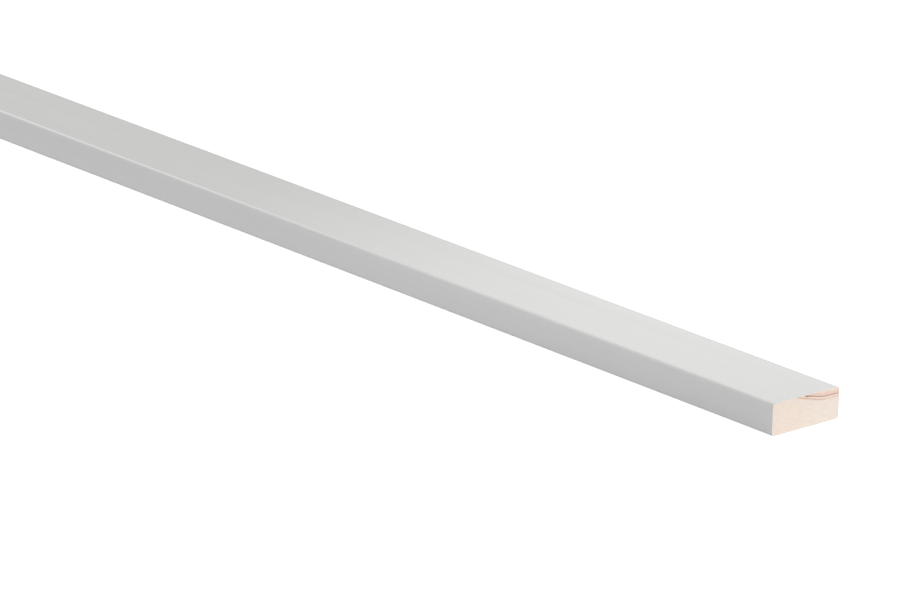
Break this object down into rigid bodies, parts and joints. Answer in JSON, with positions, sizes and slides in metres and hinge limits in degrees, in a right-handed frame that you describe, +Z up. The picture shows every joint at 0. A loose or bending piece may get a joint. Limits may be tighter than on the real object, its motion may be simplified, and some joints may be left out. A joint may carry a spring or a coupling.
{
  "type": "pine finishing strip",
  "caption": "Straight flat strip of pine with eased long edges, primed white and bare at its square-sawn ends. It covers joints and gaps along walls, frames and panels.",
  "frame": {"origin": "middle of the back face, on the floor the strip lies on", "axes": "+X along the length, towards the sawn end that the picture shows; +Y across the width; +Z up, out of the face that shows"},
  "size_m": [2.7, 0.04, 0.015],
  "materials": {
    "primed_pine": "matte"
  },
  "bodies": {
    "root": {"finishing_strip": "primed_pine"}
  },
  "joints": []
}
